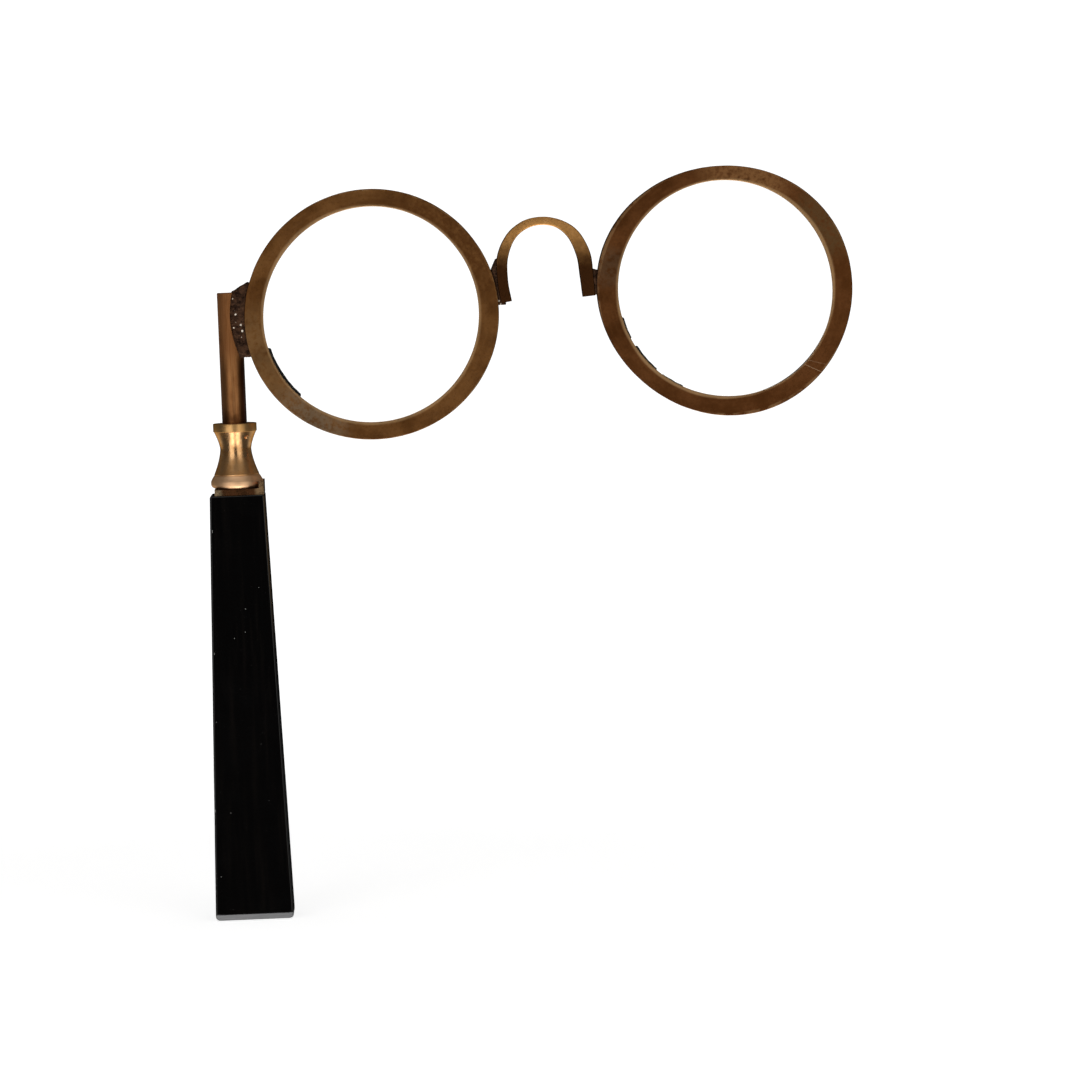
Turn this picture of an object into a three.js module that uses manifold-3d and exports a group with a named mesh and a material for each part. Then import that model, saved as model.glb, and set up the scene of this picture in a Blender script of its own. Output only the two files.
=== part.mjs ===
// A lorgnette: two round-rimmed reading lenses joined by an arched bridge and held by one side handle.
// A brass stem is soldered to the left rim, and a turned ferrule joins it to a tapered black handle.
//
// Units are millimetres. The origin is the middle of the handle's flat butt, +Z runs up the handle
// towards the lenses, +X points to the right rim, and the front of the lenses faces -Y.

import * as THREE from "three";
import { mergeVertices } from "three/addons/utils/BufferGeometryUtils.js";
import Module from "manifold-3d";

const wasm = await Module();
wasm.setup();

// ---------------------------------------------------------------- driving dimensions

const FIT_GAP = 0.05; // clearance between soldered, pressed or seated pieces

const handle = {
  length: 103,
  topWidth: 13.1,
  buttWidth: 18.9,
  thickness: 12,
  edgeBreak: 0.4,
  buttCornerRadius: 1,
  buttChamfer: 1.6,
};

// A low plate over the handle's top, flush with its right side, where two corner posts flank the bead.
const cap = {
  left: -5.3,
  right: 6.5,
  thickness: 11,
  height: 1.55,
  edgeBreak: 0.2,
  postWidth: 1.15,
  postHeight: 1.6,
  postClearance: 6.6, // radius kept clear for the ferrule's bead
};

const ferrule = {
  height: 15.5,
  beadRadius: 6.3,
  beadRound: 1.45,
  grooveRadius: 5.2,
  flareRadius: 5.42,
  waistRadius: 3.75,
  waistHeight: 9.3,
  flangeRadius: 5.25,
  flangeHeight: 2,
  coveExponent: 1.55,
};

const stem = {
  radius: 2.97,
  socketDepth: 7.4, // length of the stem hidden in the ferrule
  top: 151.6,
  topBreak: 0.15,
};

// The hollow filed in the stem's side to seat the rim, from its foot up.
const cope = { x: 23.5, z: 145.8, radius: 23.8, foot: 135.9 };

const stud = { radius: 2, length: 41, intoFerrule: 5.6 };

const pin = { radius: 0.5, inner: 1.2, outer: 4.5, z: 116.8, turn: 34 * (Math.PI / 180) };

const rim = {
  halfWidth: 30.8,
  halfHeight: 30.1, // the outside is filed slightly flat at top and bottom
  depth: 5,
  outerBreak: 0.3,
  openingRadius: 26,
  openingBreak: 0.25,
  lipThickness: 1,
  seatRadius: 27.4,
  grooveRadius: 28,
  grooveStart: 3.7, // distances from the front face
  grooveWidth: 0.9,
};

const lens = { radius: 27, edgeThickness: 1.6, bulge: 1 };

const gasket = { outerRadius: 27, innerRadius: 26, thickness: 0.47, shift: 0.3 };

const retainer = { outerRadius: 27.9, innerRadius: 26.3, thickness: 0.8, gapAngle: 0.13 };

const leftEye = { x: 33.95, z: 145, openingRise: 0 };
const rightEye = { x: 119.4, z: 147.8, openingRise: 0.25 };

const bridgeDepth = 4;
// Middle line of the bent bridge strip, from the left leg's foot over the crown to the right leg's foot,
// with the strip's thickness at each point: [x, z, thickness].
const bridgeLine = [
  [66.55, 146.8, 2.7],
  [65.85, 151.6, 2.65],
  [66, 157.6, 2.7],
  [68.3, 162.6, 2.3],
  [71.7, 165.2, 2.1],
  [75.6, 166, 2],
  [79.7, 165.2, 2.2],
  [83.1, 162.6, 2.9],
  [85.5, 157.6, 3.4],
  [86.1, 152.6, 3.3],
  [86.5, 147.5, 3.1],
];

const ROUND = 64; // facets round a rim
const SMALL_ROUND = 32; // facets round a turned piece of the handle

// ---------------------------------------------------------------- materials

const finishes = {
  agedBrass: { color: 0x6b4826, roughness: 0.45, metalness: 1 },
  brightBrass: { color: 0xb58a52, roughness: 0.22, metalness: 1 },
  solder: { color: 0x3a2a20, roughness: 0.6, metalness: 0.8 },
  steel: { color: 0x8c8c8c, roughness: 0.4, metalness: 1 },
  blackHorn: { color: 0x070606, roughness: 0.15, metalness: 0 },
  blackRubber: { color: 0x101010, roughness: 0.8, metalness: 0 },
};

function finish(name) {
  return new THREE.MeshStandardMaterial(finishes[name]);
}

function glass() {
  return new THREE.MeshStandardMaterial({
    color: 0xf4f8f6,
    roughness: 0.02,
    metalness: 0,
    transparent: true,
    opacity: 0.25,
  });
}

function named(name, geometry, material) {
  const mesh = new THREE.Mesh(geometry, material);
  mesh.name = name;
  return mesh;
}

// ---------------------------------------------------------------- solids and cuts

// A closed geometry as a manifold-3d solid.
function solid(geometry) {
  const bare = geometry.clone();
  bare.deleteAttribute("normal");
  bare.deleteAttribute("uv");
  const merged = mergeVertices(bare, 1e-4);
  return new wasm.Manifold(
    new wasm.Mesh({
      numProp: 3,
      vertProperties: new Float32Array(merged.attributes.position.array),
      triVerts: new Uint32Array(merged.index.array),
    }),
  );
}

// A manifold-3d solid as a three.js geometry.
function geometryOf(made) {
  const mesh = made.getMesh();
  const geometry = new THREE.BufferGeometry();
  geometry.setAttribute("position", new THREE.BufferAttribute(mesh.vertProperties, 3));
  geometry.setIndex(new THREE.BufferAttribute(mesh.triVerts, 1));
  geometry.computeVertexNormals();
  return geometry;
}

function cut(geometry, ...cutters) {
  let left = solid(geometry);
  for (const cutter of cutters) left = left.subtract(solid(cutter));
  return geometryOf(left);
}

// ---------------------------------------------------------------- shape helpers

// A turned solid about the Y axis, from a profile of [radius, y] points.
function turned(profile, segments) {
  const points = profile.map(([radius, y]) => new THREE.Vector2(radius, y));
  return new THREE.LatheGeometry(points, segments);
}

// A turned solid about the Z axis, from a profile of [radius, z] points.
function turnedUpright(profile, segments) {
  return turned(profile, segments).rotateX(Math.PI / 2);
}

// A plain round bar about the Z axis with broken ends.
function roundBar(radius, low, high, edge, segments) {
  const profile = [
    [0, low],
    [radius - edge, low],
    [radius, low + edge],
    [radius, high - edge],
    [radius - edge, high],
    [0, high],
  ];
  return turnedUpright(profile, segments);
}

// An outline drawn in the XZ plane, given depth along Y and centred on y.
function slab(shape, depth, y = 0, edge = 0) {
  const geometry = new THREE.ExtrudeGeometry(shape, {
    depth: depth - 2 * edge,
    steps: 1,
    curveSegments: 12,
    bevelEnabled: edge > 0,
    bevelThickness: edge,
    bevelSize: edge,
    bevelOffset: -edge,
    bevelSegments: 1,
  });
  return geometry.rotateX(Math.PI / 2).translate(0, y + depth / 2 - edge, 0);
}

function polygon(points) {
  return new THREE.Shape(points.map(([x, z]) => new THREE.Vector2(x, z)));
}

// ---------------------------------------------------------------- handle

const capBottom = handle.length + FIT_GAP;
const ferruleBottom = capBottom + cap.height + FIT_GAP;
const ferruleTop = ferruleBottom + ferrule.height;
const socketFloor = ferruleTop - stem.socketDepth - FIT_GAP;

function handleOutline() {
  const top = handle.topWidth / 2;
  const butt = handle.buttWidth / 2;
  const radius = handle.buttCornerRadius;
  const shape = new THREE.Shape();
  shape.moveTo(-butt + radius, 0);
  shape.lineTo(butt - radius, 0);
  shape.absarc(butt - radius, radius, radius, -Math.PI / 2, 0, false);
  shape.lineTo(top, handle.length);
  shape.lineTo(-top, handle.length);
  shape.absarc(-butt + radius, radius, radius, Math.PI, Math.PI * 1.5, false);
  return shape;
}

// The wedge that bevels the butt's front (side -1) or back (side 1) edge.
function buttWedge(side) {
  const reach = handle.buttChamfer * Math.SQRT2;
  const wedge = new THREE.BoxGeometry(2 * handle.buttWidth, reach, reach);
  return wedge.rotateX(Math.PI / 4).translate(0, (side * handle.thickness) / 2, 0);
}

function makeHandle() {
  const body = slab(handleOutline(), handle.thickness, 0, handle.edgeBreak);
  const boreFloor = ferruleBottom + stud.intoFerrule - stud.length - 1;
  const bore = roundBar(stud.radius + FIT_GAP, boreFloor, handle.length + 1, 0.1, SMALL_ROUND);
  return cut(body, buttWedge(-1), buttWedge(1), bore);
}

// A bevelled block on the handle's end, from one x and z to another, over the cap's whole thickness.
function capBlock(left, right, low, high) {
  const halfDepth = cap.thickness / 2;
  const plate = polygon([
    [left, -halfDepth],
    [right, -halfDepth],
    [right, halfDepth],
    [left, halfDepth],
  ]);
  const block = new THREE.ExtrudeGeometry(plate, {
    depth: high - low - 2 * cap.edgeBreak,
    bevelThickness: cap.edgeBreak,
    bevelSize: cap.edgeBreak,
    bevelOffset: -cap.edgeBreak,
    bevelSegments: 1,
  });
  return block.translate(0, 0, low + cap.edgeBreak);
}

function makeCap() {
  const top = capBottom + cap.height;
  const plate = solid(capBlock(cap.left, cap.right, capBottom, top));
  const wall = solid(capBlock(cap.right - cap.postWidth, cap.right, capBottom, top + cap.postHeight));
  const clearance = roundBar(cap.postClearance, top, top + 2 * cap.postHeight, 0, 2 * SMALL_ROUND);
  const bore = roundBar(stud.radius + FIT_GAP, capBottom - 1, ferruleBottom + 1, 0.1, SMALL_ROUND);
  const posts = wall.subtract(solid(clearance));
  return geometryOf(plate.add(posts).subtract(solid(bore)));
}

function makeStud() {
  const top = ferruleBottom + stud.intoFerrule;
  return roundBar(stud.radius, top - stud.length, top, 0.4, SMALL_ROUND);
}

// ---------------------------------------------------------------- ferrule and stem

// The hollow flank from the waist out to [endRadius, endZ], as [radius, z] points from z to z.
function cove(waistZ, endRadius, endZ, steps) {
  const rise = endRadius - ferrule.waistRadius;
  const points = [];
  for (let i = 0; i <= steps; i++) {
    const share = i / steps;
    const radius = ferrule.waistRadius + rise * share ** ferrule.coveExponent;
    points.push([radius, waistZ + (endZ - waistZ) * share]);
  }
  return points;
}

// The round bead at the ferrule's foot, from under its belly up to the groove.
function bead(middleZ) {
  const middleRadius = ferrule.beadRadius - ferrule.beadRound;
  const points = [];
  for (let degrees = -72; degrees <= 60; degrees += 22) {
    const angle = THREE.MathUtils.degToRad(degrees);
    points.push([
      middleRadius + ferrule.beadRound * Math.cos(angle),
      middleZ + ferrule.beadRound * Math.sin(angle),
    ]);
  }
  return points;
}

function makeFerrule() {
  const beadZ = ferruleBottom + ferrule.beadRound + 0.05;
  const grooveZ = beadZ + 1.5;
  const waistZ = ferruleBottom + ferrule.waistHeight;
  const flangeZ = ferruleTop - ferrule.flangeHeight;
  const studTop = ferruleBottom + stud.intoFerrule + FIT_GAP;
  const studRadius = stud.radius + FIT_GAP;
  const stemRadius = stem.radius + FIT_GAP;
  const profile = [
    [0, studTop],
    [studRadius, studTop],
    [studRadius, ferruleBottom],
    ...bead(beadZ),
    [ferrule.grooveRadius, grooveZ],
    ...cove(waistZ, ferrule.flareRadius, grooveZ + 0.3, 6).reverse(),
    ...cove(waistZ, ferrule.flangeRadius - 0.12, flangeZ, 5).slice(1),
    [ferrule.flangeRadius, flangeZ + 0.2],
    [ferrule.flangeRadius, ferruleTop - 0.2],
    [ferrule.flangeRadius - 0.2, ferruleTop],
    [stemRadius, ferruleTop],
    [stemRadius, socketFloor],
    [0, socketFloor],
  ];
  return cut(turnedUpright(profile, SMALL_ROUND), pinBar(pin.radius + FIT_GAP, 0, 9));
}

// A bar along the pin's slanting axis, from one distance to another from the stem's middle.
function pinBar(radius, inner, outer) {
  const bar = new THREE.CylinderGeometry(radius, radius, outer - inner, 16);
  bar.rotateX(Math.PI).translate(0, -(inner + outer) / 2, 0);
  return bar.rotateZ(pin.turn).translate(0, 0, pin.z);
}

function makePin() {
  return pinBar(pin.radius, pin.inner, pin.outer);
}

// The area right of the cope's arc, from its foot to a top height, out to a straight right side that
// may rise higher than the arc.
function copeOutline(radius, foot, top, right, rightTop) {
  const shape = new THREE.Shape();
  const topTurn = Math.PI - Math.asin((top - cope.z) / radius);
  const lowTurn = Math.PI + Math.asin((cope.z - foot) / radius);
  shape.absarc(cope.x, cope.z, radius, topTurn, lowTurn, false);
  shape.lineTo(right, foot);
  shape.lineTo(right, rightTop);
  shape.closePath();
  return shape;
}

function makeStem() {
  const bottom = socketFloor + FIT_GAP;
  const bar = roundBar(stem.radius, bottom, stem.top, stem.topBreak, SMALL_ROUND);
  const pinHole = pinBar(pin.radius + FIT_GAP, pin.inner - FIT_GAP, 9);
  const above = stem.top + 1;
  const hollow = copeOutline(cope.radius, cope.foot, above, 2 * stem.radius, above);
  return cut(bar, slab(hollow, 3 * stem.radius), pinHole);
}

// ---------------------------------------------------------------- rims and lenses

// The uncut outside of a rim, grown by extra all round, about the Y axis.
function rimBlank(extra) {
  const half = rim.depth / 2 + extra;
  const width = rim.halfWidth + extra;
  const profile = [
    [0, -half],
    [width - rim.outerBreak, -half],
    [width, -half + rim.outerBreak],
    [width, half - rim.outerBreak],
    [width - rim.outerBreak, half],
    [0, half],
  ];
  return turned(profile, ROUND).scale(1, 1, (rim.halfHeight + extra) / width);
}

// The opening, the lens seat behind its front lip and the groove of the retaining ring.
function seatCutter() {
  const front = -rim.depth / 2;
  const back = rim.depth / 2 + 1;
  const lip = front + rim.lipThickness;
  const groove = front + rim.grooveStart;
  const mouth = rim.openingRadius + rim.openingBreak;
  const profile = [
    [0, front - 1],
    [mouth + 1, front - 1],
    [mouth, front],
    [rim.openingRadius, front + rim.openingBreak],
    [rim.openingRadius, lip],
    [rim.seatRadius, lip],
    [rim.seatRadius, groove],
    [rim.grooveRadius, groove],
    [rim.grooveRadius, groove + rim.grooveWidth],
    [rim.seatRadius, groove + rim.grooveWidth],
    [rim.seatRadius, back],
    [0, back],
  ];
  return turned(profile, ROUND);
}

function makeRim(openingRise) {
  return cut(rimBlank(0), seatCutter().translate(0, 0, openingRise));
}

// A lens bulging equally front and back, as half profiles mirrored about its middle plane.
function makeLens() {
  const steps = 5;
  const front = [];
  for (let i = 0; i <= steps; i++) {
    const share = i / steps;
    front.push([lens.radius * share, -lens.edgeThickness / 2 - lens.bulge * (1 - share * share)]);
  }
  const back = front.map(([radius, y]) => [radius, -y]).reverse();
  return turned([...front, ...back], 40);
}

// The soft ring between the rim's lip and the lens; it sits a little off centre.
function makeGasket() {
  const front = -rim.depth / 2 + rim.lipThickness + FIT_GAP;
  const back = front + gasket.thickness;
  const profile = [
    [gasket.innerRadius, front],
    [gasket.outerRadius, front],
    [gasket.outerRadius, back],
    [gasket.innerRadius, back],
    [gasket.innerRadius, front],
  ];
  const offset = gasket.shift / Math.SQRT2;
  return turned(profile, 48).translate(offset, 0, offset);
}

// The split spring ring that holds the lens in from behind, with its gap at the bottom.
function makeRetainer() {
  const start = -Math.PI / 2 + retainer.gapAngle / 2;
  const end = -Math.PI / 2 - retainer.gapAngle / 2 + 2 * Math.PI;
  const shape = new THREE.Shape();
  shape.absarc(0, 0, retainer.outerRadius, start, end, false);
  shape.absarc(0, 0, retainer.innerRadius, end, start, true);
  const middle = -rim.depth / 2 + rim.grooveStart + rim.grooveWidth / 2;
  const geometry = new THREE.ExtrudeGeometry(shape, {
    depth: retainer.thickness,
    curveSegments: 32,
    bevelEnabled: false,
  });
  return geometry.rotateX(Math.PI / 2).translate(0, middle + retainer.thickness / 2, 0);
}

function makeEye(side, eye) {
  const group = new THREE.Group();
  group.position.set(eye.x, 0, eye.z);
  group.add(named(`${side}_rim`, makeRim(eye.openingRise), finish("agedBrass")));
  const opening = new THREE.Group();
  opening.position.z = eye.openingRise;
  opening.add(named(`${side}_lens`, makeLens(), glass()));
  opening.add(named(`${side}_lens_gasket`, makeGasket(), finish("blackRubber")));
  opening.add(named(`${side}_retaining_ring`, makeRetainer(), finish("agedBrass")));
  group.add(opening);
  return group;
}

// ---------------------------------------------------------------- bridge

// The bridge's outline, grown by extra all round, with the strip's varying thickness.
function bridgeOutline(extra) {
  const line = new THREE.CatmullRomCurve3(bridgeLine.map(([x, z]) => new THREE.Vector3(x, z, 0)));
  const widths = new THREE.SplineCurve(bridgeLine.map(([, , t], i) => new THREE.Vector2(i, t)));
  const steps = 36;
  const outer = [];
  const inner = [];
  for (let i = 0; i <= steps; i++) {
    const middle = line.getPoint(i / steps);
    const along = line.getTangent(i / steps);
    const half = widths.getPoint(i / steps).y / 2 + extra;
    outer.push([middle.x - along.y * half, middle.y + along.x * half]);
    inner.push([middle.x + along.y * half, middle.y - along.x * half]);
  }
  return polygon([...inner, ...outer.reverse()]);
}

function makeBridge() {
  return slab(bridgeOutline(0), bridgeDepth);
}

// ---------------------------------------------------------------- solder joints

// A solder fillet: an outline filled to a depth, hollowed where its neighbours lie.
function solderFillet(outline, depth, ...neighbours) {
  return cut(slab(polygon(outline), depth), ...neighbours);
}

function rimNeighbour(eye) {
  return rimBlank(FIT_GAP).translate(eye.x, 0, eye.z);
}

function bridgeNeighbour() {
  return slab(bridgeOutline(FIT_GAP), bridgeDepth + 1);
}

// Fills the space between the coped stem and the left rim, and rises to the rim at its top.
function makeStemSolder() {
  const foot = cope.foot + FIT_GAP;
  const shape = copeOutline(cope.radius - FIT_GAP, foot, stem.top + 0.2, 5.5, stem.top + 3);
  return cut(slab(shape, rim.depth - 0.4), rimNeighbour(leftEye));
}

function makeLeftBridgeSolder() {
  const outline = [
    [64.2, 146.2],
    [66.2, 146.2],
    [65.8, 157.6],
    [64.6, 157.6],
    [63.4, 154.7],
    [63.4, 149.6],
  ];
  return solderFillet(outline, 3.6, rimNeighbour(leftEye), bridgeNeighbour());
}

function makeRightBridgeSolder() {
  const outline = [
    [86.7, 147.8],
    [89.7, 147.8],
    [89.7, 153.4],
    [86.7, 154.2],
  ];
  return solderFillet(outline, 3.6, rimNeighbour(rightEye), bridgeNeighbour());
}

// ---------------------------------------------------------------- assembly

const lorgnette = new THREE.Group();
lorgnette.add(makeEye("left", leftEye));
lorgnette.add(makeEye("right", rightEye));
lorgnette.add(named("bridge", makeBridge(), finish("agedBrass")));
lorgnette.add(named("left_bridge_solder", makeLeftBridgeSolder(), finish("solder")));
lorgnette.add(named("right_bridge_solder", makeRightBridgeSolder(), finish("solder")));
lorgnette.add(named("stem", makeStem(), finish("agedBrass")));
lorgnette.add(named("stem_solder", makeStemSolder(), finish("solder")));
lorgnette.add(named("ferrule", makeFerrule(), finish("brightBrass")));
lorgnette.add(named("ferrule_pin", makePin(), finish("brightBrass")));
lorgnette.add(named("handle_cap", makeCap(), finish("brightBrass")));
lorgnette.add(named("handle_stud", makeStud(), finish("steel")));
lorgnette.add(named("handle", makeHandle(), finish("blackHorn")));

export default lorgnette;
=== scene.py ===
"""A lorgnette: two brass-rimmed lenses on an arched bridge, with a side stem, a ferrule and a black handle.

It stands on the butt of its handle on a plain pale floor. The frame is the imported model's: metres, +Z up the
handle, +X towards the right rim, and the front of the lenses faces -Y.
"""

import math

import bmesh
import bpy
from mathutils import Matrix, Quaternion, Vector, noise


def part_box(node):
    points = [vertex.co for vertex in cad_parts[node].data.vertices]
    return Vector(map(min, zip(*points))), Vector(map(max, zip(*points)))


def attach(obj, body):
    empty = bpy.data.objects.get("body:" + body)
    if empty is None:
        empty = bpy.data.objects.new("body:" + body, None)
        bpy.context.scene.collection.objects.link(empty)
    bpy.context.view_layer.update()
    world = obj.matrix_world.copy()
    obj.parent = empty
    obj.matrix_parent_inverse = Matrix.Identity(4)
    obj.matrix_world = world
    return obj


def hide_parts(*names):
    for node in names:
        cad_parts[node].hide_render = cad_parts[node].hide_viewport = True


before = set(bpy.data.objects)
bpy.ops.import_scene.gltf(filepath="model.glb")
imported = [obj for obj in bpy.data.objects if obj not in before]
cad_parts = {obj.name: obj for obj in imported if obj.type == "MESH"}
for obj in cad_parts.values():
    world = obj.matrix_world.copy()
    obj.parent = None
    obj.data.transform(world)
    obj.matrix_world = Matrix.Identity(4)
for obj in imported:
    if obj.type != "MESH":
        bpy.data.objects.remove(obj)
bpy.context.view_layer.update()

MM = 0.001

# ------------------------ sizes that the frame gives


def middle_and_half(node):
    """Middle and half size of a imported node's box."""
    low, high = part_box(node)
    return (low + high) / 2, (high - low) / 2


LEFT_EYE, RIM_HALF = middle_and_half("left_rim")
RIGHT_EYE = middle_and_half("right_rim")[0]
LENS_HALF = middle_and_half("left_lens")[1]
HANDLE_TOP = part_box("handle")[1].z
HANDLE_HALF = middle_and_half("handle")[1]
CAP_LOW, CAP_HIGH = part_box("handle_cap")
FERRULE_LOW, FERRULE_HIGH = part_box("ferrule")
STEM_LOW, STEM_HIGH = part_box("stem")

# ------------------------ sizes inside those boxes

ON_AXIS = 1e-9  # radius of a row of points that closes a turned shape on its axis

OPENING_RADIUS = 26 * MM
SEAT_RADIUS = 27.4 * MM
GROOVE_RADIUS = 28 * MM
BAND_MIDDLE = 28.2 * MM
LIP = 1 * MM
FILE_MARK = 0.03 * MM
GROOVE_START = 3.7 * MM
GROOVE_WIDTH = 0.9 * MM

LENS_EDGE = 1.6 * MM
LENS_CHAMFER = 0.12 * MM
GASKET_OUTER = 27.2 * MM
GASKET_THICKNESS = 0.45 * MM
SHADE_TONGUE_END = 0.7  # degrees over which a tongue rises
RETAINER_OUTER = 27.85 * MM
RETAINER_INNER = 26.3 * MM
RETAINER_THICKNESS = 0.76 * MM
RETAINER_EDGE = 0.2 * MM
RETAINER_GAP = 0.13  # radians

HANDLE_TOP_HALF_WIDTH = 6.55 * MM
BUTT_CHAMFER = 1.6 * MM
BUTT_CORNER = 1 * MM
HANDLE_EDGE = 0.4 * MM

STEM_RADIUS = 2.97 * MM
STEM_EDGE = 0.15 * MM
COPE_CENTRE = Vector((23.5, 0, 145.8)) * MM
COPE_RADIUS = 23.45 * MM  # of the hollow in the stem that the left rim sits in
COPE_FOOT = 135.9 * MM

CAP_PLATE = 1.55 * MM
CAP_EDGE = 0.16 * MM
POST_WIDTH = 1.15 * MM
POST_CLEARANCE = 6.6 * MM
PLATE_TOP = CAP_LOW.z + CAP_PLATE

BEAD_RADIUS = 6.285 * MM
BEAD_ROUND = 1 * MM
BEAD_SHOULDER = 1.5 * MM  # height at which the bead begins to slope in
NECK_HEIGHT = 3 * MM
NECK_RADIUS = 5.38 * MM
FLARE_RADIUS = 5.42 * MM
WAIST_RADIUS = 3.75 * MM
WAIST_HEIGHT = 9.3 * MM
FLANGE_RADIUS = 5.25 * MM
FLANGE_HEIGHT = 2 * MM
COVE_EXPONENT = 1.55
SOCKET_GAP = 0.05 * MM
NECK = FERRULE_LOW.z + NECK_HEIGHT
WAIST = FERRULE_LOW.z + WAIST_HEIGHT
FLANGE = FERRULE_HIGH.z - FLANGE_HEIGHT

PIN_RADIUS = 0.34 * MM
PIN_HOLE_RADIUS = 0.43 * MM
PIN_SPAN = (1.3 * MM, 4.78 * MM)  # from the ferrule's axis
PIN_HOLE_SPAN = (3.4 * MM, 9 * MM)
PIN_DOME = 0.25 * MM
PIN_HEIGHT = 116.8 * MM
PIN_TURN = math.radians(39)

SOLDER_GRAIN = 0.13 * MM
PIT_SPACING = 0.75 * MM
PIT_SIZE = 0.32  # as a share of the spacing
PIT_DEPTH = 0.14 * MM

BRIDGE_HALF_DEPTH = 2 * MM
BRIDGE_EDGE = 0.3 * MM
# Middle line of the bridge from the left foot over the crown to the right foot: x, z, thickness, in mm.
BRIDGE_LINE = [
    (66.55, 146.8, 2.7),
    (65.85, 151.6, 2.65),
    (66, 157.6, 2.7),
    (68.3, 162.6, 2.3),
    (71.7, 165.2, 2.1),
    (75.6, 166, 2),
    (79.7, 165.2, 2.2),
    (83.1, 162.6, 2.9),
    (85.5, 157.6, 3.4),
    (86.1, 152.6, 3.3),
    (86.5, 147.5, 3.1),
]

# ------------------------ mesh helpers


def skin(rows, wrap=False, capped=True):
    """Vertices and faces over rows of points, each a closed loop. Wrap joins the last row to the first."""
    count = len(rows[0])
    points = [p for row in rows for p in row]
    faces = []
    for i in range(len(rows) if wrap else len(rows) - 1):
        a = i * count
        b = (i + 1) % len(rows) * count
        faces += [(a + j, a + (j + 1) % count, b + (j + 1) % count, b + j) for j in range(count)]
    if capped and not wrap:
        faces.append(tuple(range(count)))
        faces.append(tuple(range(len(points) - count, len(points))))
    return points, faces


def make_mesh(name, points, faces, sharp=35):
    """A smooth-shaded mesh with outward faces and sharp edges over the given angle in degrees."""
    mesh = bpy.data.meshes.new(name)
    mesh.from_pydata([tuple(p) for p in points], [], faces)
    made = bmesh.new()
    made.from_mesh(mesh)
    bmesh.ops.remove_doubles(made, verts=made.verts, dist=1e-6)
    bmesh.ops.recalc_face_normals(made, faces=made.faces)
    made.to_mesh(mesh)
    made.free()
    mesh.shade_smooth()
    mesh.set_sharp_from_angle(angle=math.radians(sharp))
    return mesh


def placed(name, data):
    """A new object in the scene for a mesh, a light or a camera."""
    made = bpy.data.objects.new(name, data)
    bpy.context.scene.collection.objects.link(made)
    return made


def piece(name, mesh, material, nodes, middle=(0, 0, 0)):
    """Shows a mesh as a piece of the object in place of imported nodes, with its origin at middle."""
    made = placed(name, mesh)
    made.location = middle
    mesh.materials.clear()
    mesh.materials.append(material)
    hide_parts(*nodes)
    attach(made, "root")
    return made


def crisp(made):
    """Keeps flat faces flat where they meet rounded edges."""
    modifier = made.modifiers.new("Crisp", "WEIGHTED_NORMAL")
    modifier.keep_sharp = True
    modifier.weight = 80


def rounded(corners, steps=4):
    """A closed outline of (x, y) points from corners (x, y, radius), each turned into an arc."""
    outline = []
    for i, (x, y, radius) in enumerate(corners):
        corner = Vector((x, y))
        if radius == 0:
            outline.append(corner)
            continue
        before = (Vector(corners[i - 1][:2]) - corner).normalized()
        after = (Vector(corners[(i + 1) % len(corners)][:2]) - corner).normalized()
        half = before.angle(after) / 2
        centre = corner + (before + after).normalized() * (radius / math.sin(half))
        start = corner + before * (radius / math.tan(half)) - centre
        end = corner + after * (radius / math.tan(half)) - centre
        outline += [centre + start.slerp(end, k / steps) * radius for k in range(steps + 1)]
    return outline


def box_outline(left, right, low, high, radius=0, steps=4):
    """A closed rectangle of (x, y) points, with round corners where it has a radius."""
    corners = [(left, low), (right, low), (right, high), (left, high)]
    return rounded([(x, y, radius) for x, y in corners], steps)


def ring_of(radius, height, count, upright=True):
    """A circle of points about Z at a height, or about Y where it isn't upright."""
    turns = [2 * math.pi * k / count for k in range(count)]
    if upright:
        return [Vector((radius * math.cos(t), radius * math.sin(t), height)) for t in turns]
    return [Vector((radius * math.cos(t), height, radius * math.sin(t))) for t in turns]


def turned_mesh(name, profile, count, upright=True, sharp=35):
    """A turned solid from a profile of (radius, height) that starts and ends on its axis."""
    rows = [ring_of(max(radius, ON_AXIS), height, count, upright) for radius, height in profile]
    return make_mesh(name, *skin(rows, capped=False), sharp)


def evaluated_mesh(made):
    """The mesh of an object with its modifiers applied."""
    graph = bpy.context.evaluated_depsgraph_get()
    return bpy.data.meshes.new_from_object(made.evaluated_get(graph))


def carve(made, mesh, operation):
    """Cuts a mesh from an object or joins it on, and keeps the result."""
    tool = placed("tool", mesh)
    modifier = made.modifiers.new("Carve", "BOOLEAN")
    modifier.object = tool
    modifier.operation = operation
    modifier.solver = "EXACT"
    made.data = evaluated_mesh(made)
    made.modifiers.clear()
    bpy.data.objects.remove(tool)


def block(low, high):
    """A plain box between two corners, as a mesh."""
    outline = box_outline(low.x, high.x, low.y, high.y)
    rows = [[Vector((x, y, z)) for x, y in outline] for z in (low.z, high.z)]
    return make_mesh("block", *skin(rows))


def wobble(point, size, seed=0):
    """A smooth value from -1 to 1 that changes over the given size."""
    return noise.noise(Vector(point) / size + Vector((seed * 7.3, seed * 3.1, seed * 5.7)))


# ------------------------ shader helpers


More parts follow.
